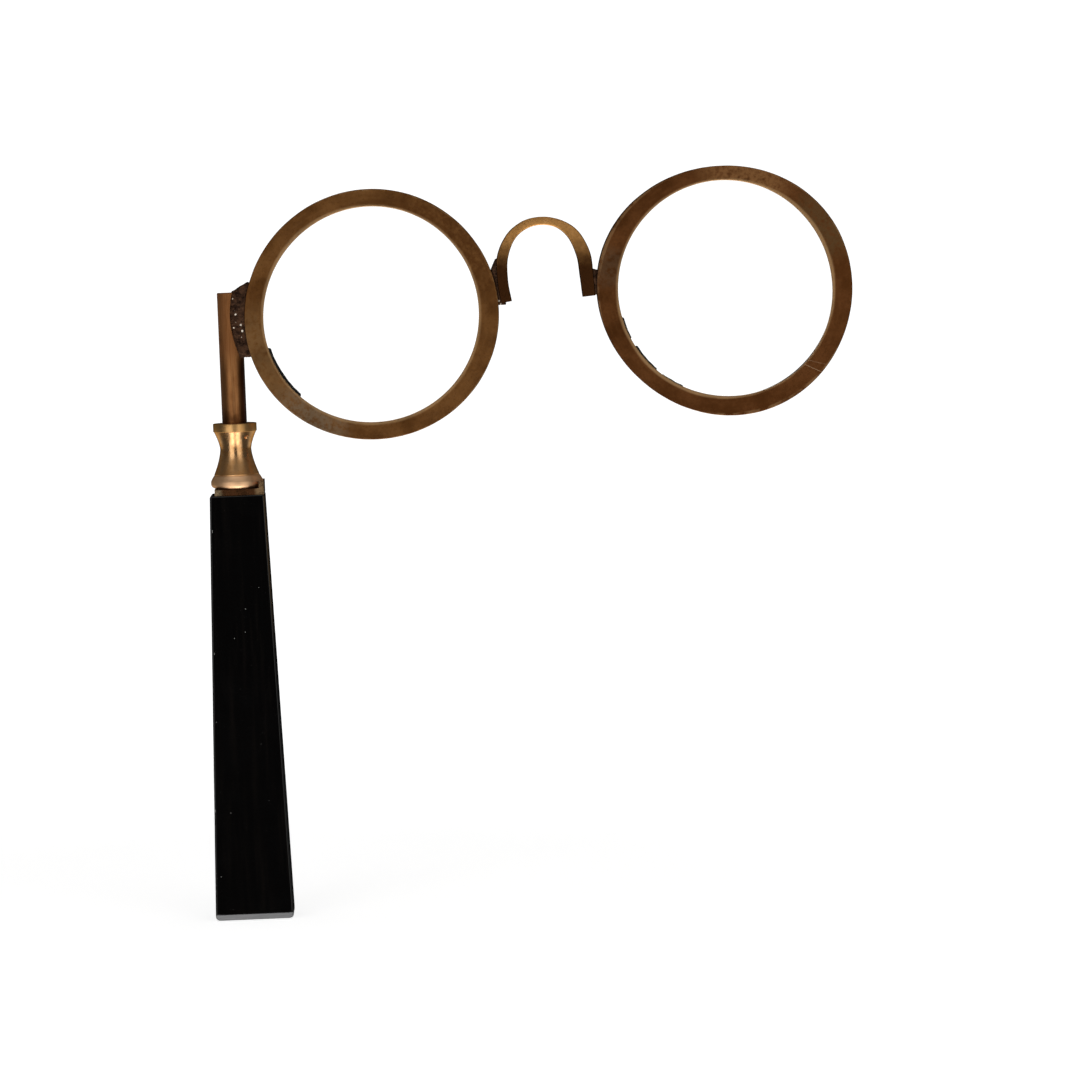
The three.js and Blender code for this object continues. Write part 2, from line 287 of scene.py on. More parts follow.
class Nodes:
    """A node tree, with a short call for each kind of node that the scene uses."""

    def __init__(self, tree):
        self.tree = tree

    def add(self, kind):
        """A new shader node of a kind, such as Math."""
        return self.tree.nodes.new(f"ShaderNode{kind}")

    def feed(self, socket, value):
        """Links a socket, or sets it where the value is a number, a vector or a colour."""
        if isinstance(value, bpy.types.NodeSocket):
            self.tree.links.new(value, socket)
        elif isinstance(value, tuple) and len(value) == 3 and len(socket.default_value) == 4:
            socket.default_value = (*value, 1)
        else:
            socket.default_value = value

    def math(self, operation, *values):
        """The result of one Math node."""
        node = self.add("Math")
        node.operation = operation
        for socket, value in zip(node.inputs, values):
            self.feed(socket, value)
        return node.outputs[0]

    def product(self, first, *others):
        """All the values multiplied."""
        for value in others:
            first = self.math("MULTIPLY", first, value)
        return first

    def vector(self, operation, *values):
        """The result of one Vector Math node."""
        node = self.add("VectorMath")
        node.operation = operation
        for socket, value in zip(node.inputs, values):
            self.feed(socket, value)
        return node.outputs["Value" if operation == "DOT_PRODUCT" else "Vector"]

    def split(self, vector):
        """The three parts of a vector."""
        node = self.add("SeparateXYZ")
        self.feed(node.inputs[0], vector)
        return node.outputs

    def joined(self, x, y, z):
        """A vector from three parts."""
        node = self.add("CombineXYZ")
        for socket, value in zip(node.inputs, (x, y, z)):
            self.feed(socket, value)
        return node.outputs[0]

    def fade(self, value, low, high, start=0.0, end=1.0):
        """The start number where value is at low, the end number at high, and a smooth step between."""
        if low > high:
            low, high, start, end = high, low, end, start
        node = self.add("MapRange")
        node.interpolation_type = "SMOOTHSTEP"
        self.feed(node.inputs["Value"], value)
        limits = {"From Min": low, "From Max": high, "To Min": start, "To Max": end}
        for key, number in limits.items():
            node.inputs[key].default_value = number
        return node.outputs[0]


class Shade(Nodes):
    """A node material around one Principled shader. Its coordinates are the piece's own, in millimetres."""

    def __init__(self, name, metallic=1.0, specular=0.5):
        self.material = bpy.data.materials.new(name)
        self.material.use_nodes = True
        super().__init__(self.material.node_tree)
        self.shader = next(n for n in self.tree.nodes if n.type == "BSDF_PRINCIPLED")
        self.put("Metallic", metallic)
        self.put("Specular IOR Level", specular)
        place = self.add("TexCoord").outputs["Object"]
        self.at = self.vector("MULTIPLY", place, (1 / MM,) * 3)
        self.x, self.y, self.z = self.split(self.at)

    def put(self, name, value):
        """Sets or links one input of the Principled shader."""
        self.feed(self.shader.inputs[name], value)

    def noise(self, scale, detail=3, roughness=0.55, vector=None, stretch=(1, 1, 1)):
        """Cloudy noise from 0 to 1, with scale in features per millimetre."""
        node = self.add("TexNoise")
        self.feed(node.inputs["Vector"], self.vector("MULTIPLY", vector or self.at, stretch))
        node.inputs["Scale"].default_value = scale
        node.inputs["Detail"].default_value = detail
        node.inputs["Roughness"].default_value = roughness
        return node.outputs[0]

    def cells(self, scale, vector=None):
        """Distance to the nearest of scattered points, with scale in points per millimetre."""
        node = self.add("TexVoronoi")
        self.feed(node.inputs["Vector"], vector or self.at)
        node.inputs["Scale"].default_value = scale
        return node.outputs["Distance"]

    def mix(self, share, first, second):
        """The first colour where share is 0, the second where it is 1."""
        node = self.add("Mix")
        node.data_type = "RGBA"
        sockets = [s for s in node.inputs if s.type == "RGBA"]
        self.feed(node.inputs[0], share)
        self.feed(sockets[0], first)
        self.feed(sockets[1], second)
        return next(s for s in node.outputs if s.type == "RGBA")

    def tint(self, colour, share, other, strength):
        """Another colour laid over a colour at a strength, where share is 1."""
        return self.mix(self.product(share, strength), colour, other)

    def between(self, share, low, high):
        """A number that runs from low to high with share."""
        return self.math("MULTIPLY_ADD", share, high - low, low)

    def bump(self, height, distance, strength=1.0, under=None):
        """A normal that rises with height by the given distance in millimetres."""
        node = self.add("Bump")
        node.inputs["Strength"].default_value = strength
        node.inputs["Distance"].default_value = distance * MM
        self.feed(node.inputs["Height"], height)
        if under is not None:
            self.feed(node.inputs["Normal"], under)
        return node.outputs[0]

    def done(self, colour, roughness, normal=None):
        """The finished material."""
        self.put("Base Color", colour)
        self.put("Roughness", roughness)
        if normal is not None:
            self.put("Normal", normal)
        return self.material


def radius_about(nodes, a, b):
    """Distance from the axis that a and b are measured from."""
    return nodes.math("SQRT", nodes.math("ADD", nodes.product(a, a), nodes.product(b, b)))


def round_grain(shade, a, b, along, along_scale, across_scale, axis_scale):
    """Coordinates that change slowly round an axis and quickly across it."""
    radius = radius_about(shade, a, b)
    return shade.joined(
        shade.product(shade.math("DIVIDE", a, radius), along_scale),
        shade.product(shade.math("DIVIDE", b, radius), along_scale),
        shade.math("MULTIPLY_ADD", radius, across_scale, shade.product(along, axis_scale)),
    )


# ------------------------ materials

SPECKLE = (0.075, 0.026, 0.007)
WORN = (0.5, 0.3, 0.14)
SCRATCHED = (0.62, 0.42, 0.26)
BROWN = (0.06, 0.022, 0.007)

# Where a colour or a finish sets in and where it is full, in mm in the frame.
BRIDGE_CROWN_LIT_AND_WORN = (154, 165)
BRIDGE_CROWN_HIGHLIGHT_AND_WEAR = (158, 165)
STEM_STAINED = (125.5, 121)
STEM_SHADED_SIDE = (1.0, 2.4)
STEM_SHADED_BELOW = (139, 134)
STEM_MATT = (131, 140)
CAP_LEFT_HIGHLIGHT = (-3.2, -4.3)
CAP_RIGHT_HIGHLIGHT = (4.1, 5.3)
CAP_TOP_SHADOW = (5.4, 4.6)
HORN_EDGE_REFLECTION = (62, 92)


def near_direction(shade, degrees, half):
    """1 near the direction so many degrees clockwise from the top, and 0 past half degrees to each side."""
    turn = math.radians(degrees)
    unit = shade.vector("NORMALIZE", shade.joined(shade.x, shade.z, 0.0))
    cosine = shade.vector("DOT_PRODUCT", unit, (math.sin(turn), math.cos(turn), 0))
    return shade.fade(cosine, math.cos(math.radians(half)), math.cos(math.radians(half * 0.3)))


def scratch_line(shade, degrees, tilt):
    """A slightly wavy line across the rim, degrees clockwise from the top and tilted off its radius."""
    turn = math.radians(degrees)
    lean = math.radians(tilt)
    across = (math.cos(turn + lean), -math.sin(turn + lean))
    start = (math.sin(turn) * BAND_MIDDLE / MM, math.cos(turn) * BAND_MIDDLE / MM)
    offset = -(across[0] * start[0] + across[1] * start[1])
    distance = shade.math("MULTIPLY_ADD", shade.z, across[1], offset)
    distance = shade.math("MULTIPLY_ADD", shade.x, across[0], distance)
    wavy = shade.math("MULTIPLY_ADD", shade.noise(0.9, 2), 0.25, distance)
    line = shade.fade(shade.math("ABSOLUTE", shade.math("SUBTRACT", wavy, 0.12)), 0.13, 0.02)
    side = shade.math("MULTIPLY_ADD", shade.x, start[0], shade.product(shade.z, start[1]))
    return shade.product(line, shade.fade(side, 0, 50))


def rim_wear(shade, rise, unevenness):
    """Where a rim is worn bright: along its opening, and in places along its outer corners."""
    jitter = shade.product(shade.math("SUBTRACT", unevenness, 0.5), 0.5)
    opening = radius_about(shade, shade.x, shade.math("SUBTRACT", shade.z, rise / MM))
    lip = OPENING_RADIUS / MM
    inner = shade.fade(shade.math("ADD", opening, jitter), lip + 0.75, lip + 0.1)
    half = RIM_HALF / MM
    outline = radius_about(shade, shade.product(shade.x, 1 / half.x), shade.product(shade.z, 1 / half.z))
    outer = shade.fade(shade.math("MULTIPLY_ADD", jitter, 0.03, outline), 0.984, 0.994)
    corner = shade.fade(shade.math("ABSOLUTE", shade.y), half.y - 0.4, half.y - 0.1)
    places = shade.fade(shade.noise(0.3, 3), 0.4, 0.56)
    return shade.math("MAXIMUM", shade.product(inner, 0.7), shade.product(outer, corner, places, 0.3))


def rim_brass(name, rise, tones, patches, scratches):
    """Brown aged brass, brushed round the opening, with worn edges.

    rise is how far the opening sits above the rim's middle. Tones are its dark, light and brushed colours.
    Patches are (clockwise degrees from the top, half width in degrees, colour, strength); the sheen patches
    are painted reflections. Scratches are (clockwise degrees, tilt, strength).
    """
    shade = Shade(name)
    grain = round_grain(shade, shade.x, shade.z, shade.y, 7.0, 2.2, 2.2)
    fine = shade.noise(3.0, 4, 0.6, grain)
    coarse = shade.noise(0.8, 3, 0.55, grain)
    cloud = shade.noise(0.16, 4, 0.6)
    speckle = shade.noise(2.2, 3, 0.7)
    blots = shade.noise(0.9, 4, 0.7)

    dark, light, brushed = tones
    colour = shade.mix(shade.fade(cloud, 0.3, 0.68), dark, light)
    colour = shade.tint(colour, shade.fade(coarse, 0.4, 0.8), brushed, 0.35)
    colour = shade.tint(colour, shade.fade(blots, 0.46, 0.66), dark, 0.5)
    colour = shade.tint(colour, shade.fade(speckle, 0.5, 0.75), SPECKLE, 0.5)
    # Patches tint the face in places: the sheen ones are painted reflections of the light, the others are
    # tones of the brass.
    for degrees, half, tone, strength in patches:
        near = shade.product(near_direction(shade, degrees, half), shade.fade(blots, 0.3, 0.6))
        colour = shade.tint(colour, near, tone, strength)
    marks = 0.0
    for degrees, tilt, strength in scratches:
        line = shade.product(scratch_line(shade, degrees, tilt), shade.fade(speckle, 0.3, 0.6), strength)
        marks = shade.math("MAXIMUM", marks, line)
    colour = shade.mix(marks, colour, SCRATCHED)
    colour = shade.mix(rim_wear(shade, rise, coarse), colour, WORN)

    roughness = shade.between(shade.fade(cloud, 0.3, 0.7), 0.36, 0.5)
    normal = shade.bump(fine, 0.012, 0.5)
    return shade.done(colour, roughness, shade.bump(speckle, 0.015, 0.35, normal))


def bridge_brass():
    """The bridge's aged brass: lighter over the crown, partly worn and partly a painted highlight, browner
    down the legs.
    """
    shade = Shade("bridge_brass")
    cloud = shade.noise(0.45, 4, 0.6)
    grain = shade.noise(3.5, 3, 0.6)
    height = shade.math("MULTIPLY_ADD", shade.math("SUBTRACT", cloud, 0.5), 5.0, shade.z)
    # Lighter towards the crown: partly wear, partly a painted highlight on the top of the arch.
    colour = shade.mix(shade.fade(height, *BRIDGE_CROWN_LIT_AND_WORN), BROWN, (0.58, 0.29, 0.09))
    colour = shade.tint(colour, shade.fade(grain, 0.5, 0.75), BROWN, 0.4)
    # The extra gold over the crown is partly wear and partly a painted highlight where the arch catches the
    # light.
    crown = shade.product(shade.fade(cloud, 0.55, 0.75), shade.fade(height, *BRIDGE_CROWN_HIGHLIGHT_AND_WEAR))
    colour = shade.tint(colour, crown, (0.7, 0.4, 0.17), 0.5)
    roughness = shade.between(cloud, 0.34, 0.5)
    return shade.done(colour, roughness, shade.bump(grain, 0.03, 0.6))


def stem_brass():
    """The stem's aged brass: faint drawn streaks up its length, turning rings, darker stains, and painted
    shade down its right side.
    """
    shade = Shade("stem_brass")
    streak = shade.noise(1.0, 4, 0.6, stretch=(3.2, 3.2, 0.12))
    cloud = shade.noise(0.32, 4, 0.6, stretch=(1, 1, 0.6))
    speckle = shade.noise(2.4, 3, 0.65)
    rings = shade.noise(1.0, 2, 0.5, stretch=(0.15, 0.15, 3.0))
    colour = shade.mix(shade.fade(streak, 0.3, 0.75), (0.3, 0.125, 0.042), (0.4, 0.185, 0.07))
    colour = shade.tint(colour, shade.fade(cloud, 0.5, 0.72), (0.17, 0.068, 0.022), 0.4)
    colour = shade.tint(colour, shade.fade(speckle, 0.55, 0.75), (0.14, 0.055, 0.018), 0.35)
    stained = shade.product(shade.fade(shade.z, *STEM_STAINED), shade.fade(cloud, 0.3, 0.5))
    colour = shade.tint(colour, stained, (0.09, 0.03, 0.009), 0.8)
    # Painted shade, with some tarnish, down the stem's right side below the solder, where the rim and solder
    # shade it.
    shaded = shade.product(shade.fade(shade.x, *STEM_SHADED_SIDE), shade.fade(shade.z, *STEM_SHADED_BELOW))
    colour = shade.tint(colour, shaded, (0.05, 0.016, 0.005), 0.9)
    roughness = shade.fade(shade.z, *STEM_MATT, 0.45, 0.75)
    normal = shade.bump(streak, 0.015, 0.4)
    return shade.done(colour, roughness, shade.bump(rings, 0.02, 0.4, normal))


def tarnished(shade, bright, dull, stained):
    """A tarnish pattern over turned or filed brass: its colour, its cloudiness and its fine tool rings."""
    grain = round_grain(shade, shade.x, shade.y, shade.z, 1.6, 0.6, 9.0)
    rings = shade.noise(1.0, 3, 0.6, grain)
    cloud = shade.noise(0.4, 4, 0.65)
    stain = shade.noise(1.4, 3, 0.6)
    colour = shade.mix(shade.fade(cloud, 0.35, 0.7), bright, dull)
    colour = shade.tint(colour, shade.fade(stain, 0.56, 0.74), stained, 0.5)
    colour = shade.tint(colour, shade.fade(rings, 0.5, 0.8), dull, 0.3)
    return colour, shade.fade(cloud, 0.3, 0.7), rings


def ferrule_brass():
    """Turned brass: polished at the waist, browner down the flare, pink on the bead, satin on the flange."""
    shade = Shade("ferrule_brass")
    shade.put("Specular Tint", (1.0, 0.7, 0.4))
    colour, cloud, rings = tarnished(shade, (0.88, 0.52, 0.245), (0.68, 0.33, 0.11), (0.34, 0.125, 0.033))
    flare = shade.fade(shade.z, WAIST / MM, WAIST / MM - 4)
    colour = shade.tint(colour, flare, (0.62, 0.32, 0.12), 0.4)
    bead = shade.fade(shade.z, NECK / MM + 0.3, NECK / MM - 0.3)
    colour = shade.tint(colour, bead, (1.0, 0.64, 0.37), 0.9)
    flange = shade.fade(shade.z, FLANGE / MM - 0.1, FLANGE / MM + 0.1)
    colour = shade.tint(colour, flange, (0.7, 0.4, 0.14), 0.7)
    satin = shade.noise(1.0, 3, 0.6, stretch=(4, 4, 0.3))
    dull = shade.math("MAXIMUM", flange, flare)
    roughness = shade.math("MULTIPLY_ADD", dull, 0.14, shade.between(cloud, 0.18, 0.3))
    roughness = shade.math("MULTIPLY_ADD", bead, 0.12, roughness)
    normal = shade.bump(rings, 0.01, 0.4)
    return shade.done(colour, roughness, shade.bump(satin, 0.02, 0.35, normal))


def cap_brass():
    """Filed brass gone dark: brown across the middle, a painted shadow on top under the bead, and painted
    highlights at both ends.
    """
    shade = Shade("cap_brass")
    colour, cloud, rings = tarnished(shade, (0.2, 0.085, 0.035), (0.11, 0.042, 0.016), (0.035, 0.012, 0.005))
    place = shade.math("MULTIPLY_ADD", shade.math("SUBTRACT", cloud, 0.5), 0.7, shade.x)
    # Painted highlights on both ends of the cap's front.
    colour = shade.mix(shade.fade(place, *CAP_LEFT_HIGHLIGHT), colour, (0.58, 0.42, 0.24))
    colour = shade.mix(shade.fade(place, *CAP_RIGHT_HIGHLIGHT), colour, (0.4, 0.25, 0.125))
    # A painted shadow on the plate's top, where the bead hangs over it.
    top = shade.fade(shade.z, PLATE_TOP / MM - 0.25, PLATE_TOP / MM - 0.05)
    top = shade.product(top, shade.fade(place, *CAP_TOP_SHADOW))
    colour = shade.tint(colour, top, (0.05, 0.02, 0.007), 0.9)
    return shade.done(colour, shade.between(cloud, 0.2, 0.34), shade.bump(rings, 0.012, 0.4))


def solder_metal():
    """Dark, pitted soft solder, with small bright spots painted on as glints."""
    shade = Shade("solder_metal", metallic=0.9)
    cloud = shade.noise(0.75, 4, 0.65)
    fine = shade.noise(3.0, 3, 0.7)
    pits = shade.cells(1.5)
    colour = shade.mix(shade.fade(cloud, 0.36, 0.66), (0.02, 0.008, 0.0038), (0.095, 0.045, 0.023))
    colour = shade.mix(shade.fade(fine, 0.5, 0.7), colour, (0.07, 0.036, 0.02))
    colour = shade.mix(shade.fade(pits, 0.25, 0.08), colour, (0.015, 0.008, 0.005))
    # Painted glints: small near-white spots scattered over the solder.
    size = shade.product(shade.fade(shade.noise(0.4, 2), 0.5, 0.62), 0.3)
    painted_glints = shade.fade(shade.math("SUBTRACT", shade.cells(1.0), size), 0.0, -0.06)
    colour = shade.mix(shade.product(painted_glints, shade.fade(fine, 0.3, 0.45)), colour, (0.95, 0.86, 0.72))
    roughness = shade.between(shade.fade(cloud, 0.3, 0.7), 0.3, 0.6)
    return shade.done(colour, roughness, shade.bump(fine, 0.12, 0.7))


def black_horn():
    """Polished black horn: hair scratches, dust, a sanded bevel at the butt and a painted brown reflection
    down its right edge.
    """
    shade = Shade("black_horn", metallic=0.0, specular=0.4)
    streak = shade.noise(1.0, 4, 0.6, stretch=(0.9, 0.9, 0.05))
    haze = shade.noise(0.12, 3, 0.6)
    colour = shade.mix(shade.fade(streak, 0.45, 0.75), (0.0016, 0.0014, 0.0014), (0.0042, 0.0034, 0.003))
    # A painted brown reflection of the brass along the handle's right edge.
    slope = (HANDLE_HALF.x - HANDLE_TOP_HALF_WIDTH) / HANDLE_TOP
    side = shade.math("MULTIPLY_ADD", shade.z, slope, shade.math("SUBTRACT", shade.x, HANDLE_HALF.x / MM))
    edge = shade.product(shade.fade(side, -0.35, -0.1), shade.fade(shade.z, *HORN_EDGE_REFLECTION))
    colour = shade.tint(colour, edge, (0.08, 0.048, 0.018), 0.85)
    dust = shade.fade(shade.cells(0.42), 0.052, 0.03)
    dust = shade.product(dust, shade.fade(shade.noise(0.5, 1), 0.5, 0.56))
    lint = shade.fade(shade.cells(0.3, shade.vector("MULTIPLY", shade.at, (1, 1, 0.22))), 0.03, 0.018)
    marks = shade.math("MAXIMUM", dust, shade.product(lint, 0.8))
    colour = shade.mix(marks, colour, (0.4, 0.4, 0.38))
    bevel = BUTT_CHAMFER / MM
    sanded = shade.product(shade.fade(shade.z, bevel + 0.02, bevel - 0.1), shade.fade(shade.z, -0.1, 0.02))
    brushed = shade.noise(1.0, 3, 0.6, stretch=(0.25, 3.0, 6.0))
    grey = shade.mix(brushed, (0.05, 0.05, 0.052), (0.22, 0.22, 0.225))
    colour = shade.mix(sanded, colour, grey)
    roughness = shade.between(shade.math("MAXIMUM", sanded, marks), 0.075, 0.42)
    roughness = shade.math("MULTIPLY_ADD", shade.fade(haze, 0.4, 0.7), 0.04, roughness)
    scratch = shade.noise(1.0, 2, 0.5, stretch=(7, 7, 0.25))
    return shade.done(colour, roughness, shade.bump(scratch, 0.004, 0.25))


def lens_glass():
    """Clear ground glass with a faint smear left by polishing."""
    shade = Shade("lens_glass", metallic=0.0)
    shade.put("Transmission Weight", 1.0)
    shade.put("IOR", 1.5)
    smear = shade.noise(0.09, 3, 0.6, stretch=(1, 1, 2.2))
    colour = shade.mix(smear, (0.985, 0.99, 0.985), (1.0, 1.0, 1.0))
    return shade.done(colour, shade.between(shade.fade(smear, 0.45, 0.8), 0.0, 0.03))


def gasket_rubber():
    """Matt black rubber with a dusty, slightly crazed surface."""
    shade = Shade("gasket_rubber", metallic=0.0, specular=0.3)
    grain = shade.noise(5.0, 3, 0.7)
    colour = shade.mix(shade.fade(grain, 0.4, 0.75), (0.004, 0.004, 0.004), (0.02, 0.019, 0.018))
    return shade.done(colour, shade.between(grain, 0.5, 0.85), shade.bump(grain, 0.05, 0.6))


def stud_steel():
    """Turned steel with fine rings and a light oil stain."""
    shade = Shade("stud_steel")
    rings = shade.noise(1.0, 2, 0.5, stretch=(0.4, 0.4, 6.0))
    stain = shade.noise(0.5, 3, 0.6)
    colour = shade.mix(shade.fade(stain, 0.4, 0.7), (0.52, 0.5, 0.47), (0.3, 0.27, 0.23))
    return shade.done(colour, shade.between(stain, 0.3, 0.5), shade.bump(rings, 0.02, 0.5))


# ------------------------ rims


def rim_section():
    """The rim's cross-section as (distance from the opening's middle, y) with rounded edges."""
    front = -RIM_HALF.y
    back = RIM_HALF.y
    outside = RIM_HALF.x
    groove = front + GROOVE_START
    corners = [
        (OPENING_RADIUS, front, 0.22 * MM),
        (outside, front, 0.2 * MM),
        (outside, back, 0.32 * MM),
        (SEAT_RADIUS, back, 0.15 * MM),
        (SEAT_RADIUS, groove + GROOVE_WIDTH, 0),
        (GROOVE_RADIUS, groove + GROOVE_WIDTH, 0),
        (GROOVE_RADIUS, groove, 0),
        (SEAT_RADIUS, groove, 0),
        (SEAT_RADIUS, front + LIP, 0.1 * MM),
        (OPENING_RADIUS, front + LIP, 0.1 * MM),
    ]
    return rounded(corners)


def bent(turn, waves):
    """How far a hand-bent outline stands out at a turn.

    Waves are (times round, cosine part, sine part), the parts in mm.
    """
    return MM * sum(a * math.cos(k * turn) + b * math.sin(k * turn) for k, a, b in waves)


def make_rim(name, eye, rise, material, seed, outside, inside):
    """One rim: a filed oval outside and a lip round the opening, both bent a little out of true."""
    section = rim_section()
    split = GROOVE_RADIUS + 0.1 * MM
    squash = RIM_HALF.z / RIM_HALF.x
    rows = []
    count = 320
    for i in range(count):
        turn = 2 * math.pi * i / count
        way = Vector((math.cos(turn), 0, math.sin(turn)))
        row = []
        # Points from the lip to the groove follow the opening, and those beyond blend into the outline.
        for distance, y in section:
            lip = bent(turn, inside) if distance < SEAT_RADIUS - 0.3 * MM else 0
            opening = way * (distance + lip) + Vector((0, 0, rise))
            oval = Vector((way.x, 0, way.z * squash)) * distance + way * bent(turn, outside)
            share = min(max((distance - split) / (RIM_HALF.x - split), 0), 1)
            point = opening.lerp(oval, share)
            filed = wobble(point, 5 * MM, seed) + 0.5 * wobble(point, 1.6 * MM, seed) - 1
            point += way * FILE_MARK * filed * (1 if share > 0.5 else 0.5)
            point.y = y
            row.append(point)
        rows.append(row)
    mesh = make_mesh(name, *skin(rows, wrap=True), 40)
    crisp(piece(f"{name}_piece", mesh, material, [name], eye))


# ------------------------ lenses and what holds them


def make_lens(name, middle, material):
    """A lens bulging equally front and back, with its edge ground square and its corners broken."""
    bulge = LENS_HALF.y - LENS_EDGE / 2
    radius = LENS_HALF.x
    steps = 24
    front = [(radius * k / steps, -LENS_EDGE / 2 - bulge * (1 - (k / steps) ** 2)) for k in range(steps)]
    corner = [(radius - LENS_CHAMFER, -LENS_EDGE / 2), (radius, -LENS_EDGE / 2 + LENS_CHAMFER)]
    half = front + corner
    profile = half + [(r, -y) for r, y in reversed(half)]
    mesh = turned_mesh(name, profile, 160, upright=False)
    made = piece(f"{name}_piece", mesh, material, [name], middle)
    made.visible_shadow = False


def make_gasket(name, middle, shade_tongues, material):
    """The thin ring behind the lip, which shows only where a tongue of it stands out into the opening.

    Tongues are (from, to, reach): clockwise degrees from the top, and metres. Each tongue is partly gasket and
    partly
    painted shade: black rubber set where the opening lies in shade.
    """
    front = -RIM_HALF.y + LIP + 0.03 * MM
    edge = 0.06 * MM
    hidden = 0.1 * MM
    count = 720
    rows = []
    for i in range(count):
        clockwise = 360 * i / count
        turn = math.radians(clockwise)
        way = Vector((math.sin(turn), 0, math.cos(turn)))
        reach = 0
        # A tongue is dark rubber standing out where the opening lies in shade: partly gasket, partly painted
        # shade.
        for start, end, depth in shade_tongues:
            inside = min(clockwise - start, end - clockwise)
            ragged = 0.95 + 0.15 * wobble(way, 0.06, 2)
            reach = max(reach, (hidden + depth * ragged) * min(max(inside / SHADE_TONGUE_END, 0), 1))
        inner = OPENING_RADIUS + hidden - reach
        section = [
            (inner, front + edge),
            (inner + edge, front),
            (GASKET_OUTER, front),
            (GASKET_OUTER, front + GASKET_THICKNESS),
            (inner + edge, front + GASKET_THICKNESS),
            (inner, front + GASKET_THICKNESS - edge),
        ]
        rows.append([way * distance + Vector((0, y, 0)) for distance, y in section])
    mesh = make_mesh(name, *skin(rows, wrap=True), 30)
    piece(f"{name}_piece", mesh, material, [name], middle)


def make_retainer(name, middle, material):
    """The split spring ring behind the lens, with rounded wire edges and a gap at the bottom."""
    y = -RIM_HALF.y + GROOVE_START + GROOVE_WIDTH / 2
    half = RETAINER_THICKNESS / 2
    section = box_outline(RETAINER_INNER, RETAINER_OUTER, y - half, y + half, RETAINER_EDGE, 3)
    rows = []
    steps = 240
    for i in range(steps + 1):
        turn = RETAINER_GAP / 2 + (2 * math.pi - RETAINER_GAP) * i / steps - math.pi / 2
        way = Vector((math.cos(turn), 0, math.sin(turn)))
        rows.append([way * distance + Vector((0, height, 0)) for distance, height in section])
    mesh = make_mesh(name, *skin(rows), 40)
    crisp(piece(f"{name}_piece", mesh, material, [name], middle))


# ------------------------ bridge


def blend(a, b, low, high, t):
    """The point for t on the line that passes a at low and b at high."""
    return a + (b - a) * ((t - low) / (high - low))


def spline(points, share):
    """A point on a centripetal Catmull-Rom curve through points, for a share from 0 to 1."""
    first = points[0] * 2 - points[1]
    last = points[-1] * 2 - points[-2]
    full = [first, *points, last]
    place = min(share * (len(points) - 1), len(points) - 1 - 1e-9)
    i = int(place)
    p = full[i : i + 4]
    knots = [0.0]
    for a, b in zip(p, p[1:]):
        knots.append(knots[-1] + max((b.xz - a.xz).length ** 0.5, 1e-6))
    t = knots[1] + (knots[2] - knots[1]) * (place - i)
    sides = [blend(p[k], p[k + 1], knots[k], knots[k + 1], t) for k in range(3)]
    before = blend(sides[0], sides[1], knots[0], knots[2], t)
    after = blend(sides[1], sides[2], knots[1], knots[3], t)
    return blend(before, after, knots[1], knots[2], t)


def make_bridge(material):
    """A bent strip, hammered a little uneven along its outside, with softened corners."""
    # A point's y stands for the strip's thickness there, so that the curve runs through both.
    points = [Vector((x, thickness, z)) * MM for x, z, thickness in BRIDGE_LINE]
    steps = 150
    line = [spline(points, k / steps) for k in range(steps + 1)]
    rows = []
    for k, place in enumerate(line):
        ahead = line[min(k + 1, steps)]
        behind = line[max(k - 1, 0)]
        along = Vector((ahead.x - behind.x, 0, ahead.z - behind.z)).normalized()
        out = Vector((-along.z, 0, along.x))
        middle = Vector((place.x, 0, place.z))
        half = place.y / 2
        hammered = half - 0.04 * MM + min(0.07 * MM * wobble(middle, 2.2 * MM, 4), 0)
        section = box_outline(-half, hammered, -BRIDGE_HALF_DEPTH, BRIDGE_HALF_DEPTH, BRIDGE_EDGE, 3)
        rows.append([middle + out * across + Vector((0, y, 0)) for across, y in section])
    mesh = make_mesh("bridge", *skin(rows), 40)
    crisp(piece("bridge_piece", mesh, material, ["bridge"]))


# ------------------------ solder


def make_solder(node, material, seed, lump, joined, reach, back):
    """A run of solder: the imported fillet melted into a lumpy, pitted bead.

    It reaches out on the side of the eye that it is joined to, and swells by back on the other side.
    """
    rough = placed("melt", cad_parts[node].data.copy())
    remesh = rough.modifiers.new("Melt", "REMESH")
    remesh.mode = "VOXEL"
    remesh.voxel_size = SOLDER_GRAIN
    smooth = rough.modifiers.new("Smooth", "SMOOTH")
    smooth.iterations = 6
    mesh = evaluated_mesh(rough)
    bpy.data.objects.remove(rough)
    moves = []
    for vertex in mesh.vertices:
        swell = wobble(vertex.co, 1.3 * MM, seed) + 0.5 * wobble(vertex.co, 0.55 * MM, seed + 1)
        distance = noise.voronoi(Vector(vertex.co) / PIT_SPACING + Vector((seed, 0, 0)))[0][0]
        pit = PIT_DEPTH * max(0, 1 - distance / PIT_SIZE) ** 0.5
        toward = (joined - vertex.co).normalized()
        facing = vertex.normal.dot(toward)
        cling = toward * (reach * max(0, facing) ** 0.5 + back * max(0, -facing) ** 0.5)
        moves.append(vertex.normal * (lump * (swell + 0.15) - pit) + cling)
    for vertex, move in zip(mesh.vertices, moves):
        vertex.co += move
    mesh.shade_smooth()
    piece(f"{node}_piece", mesh, material, [node])


# ------------------------ stem, ferrule and pin


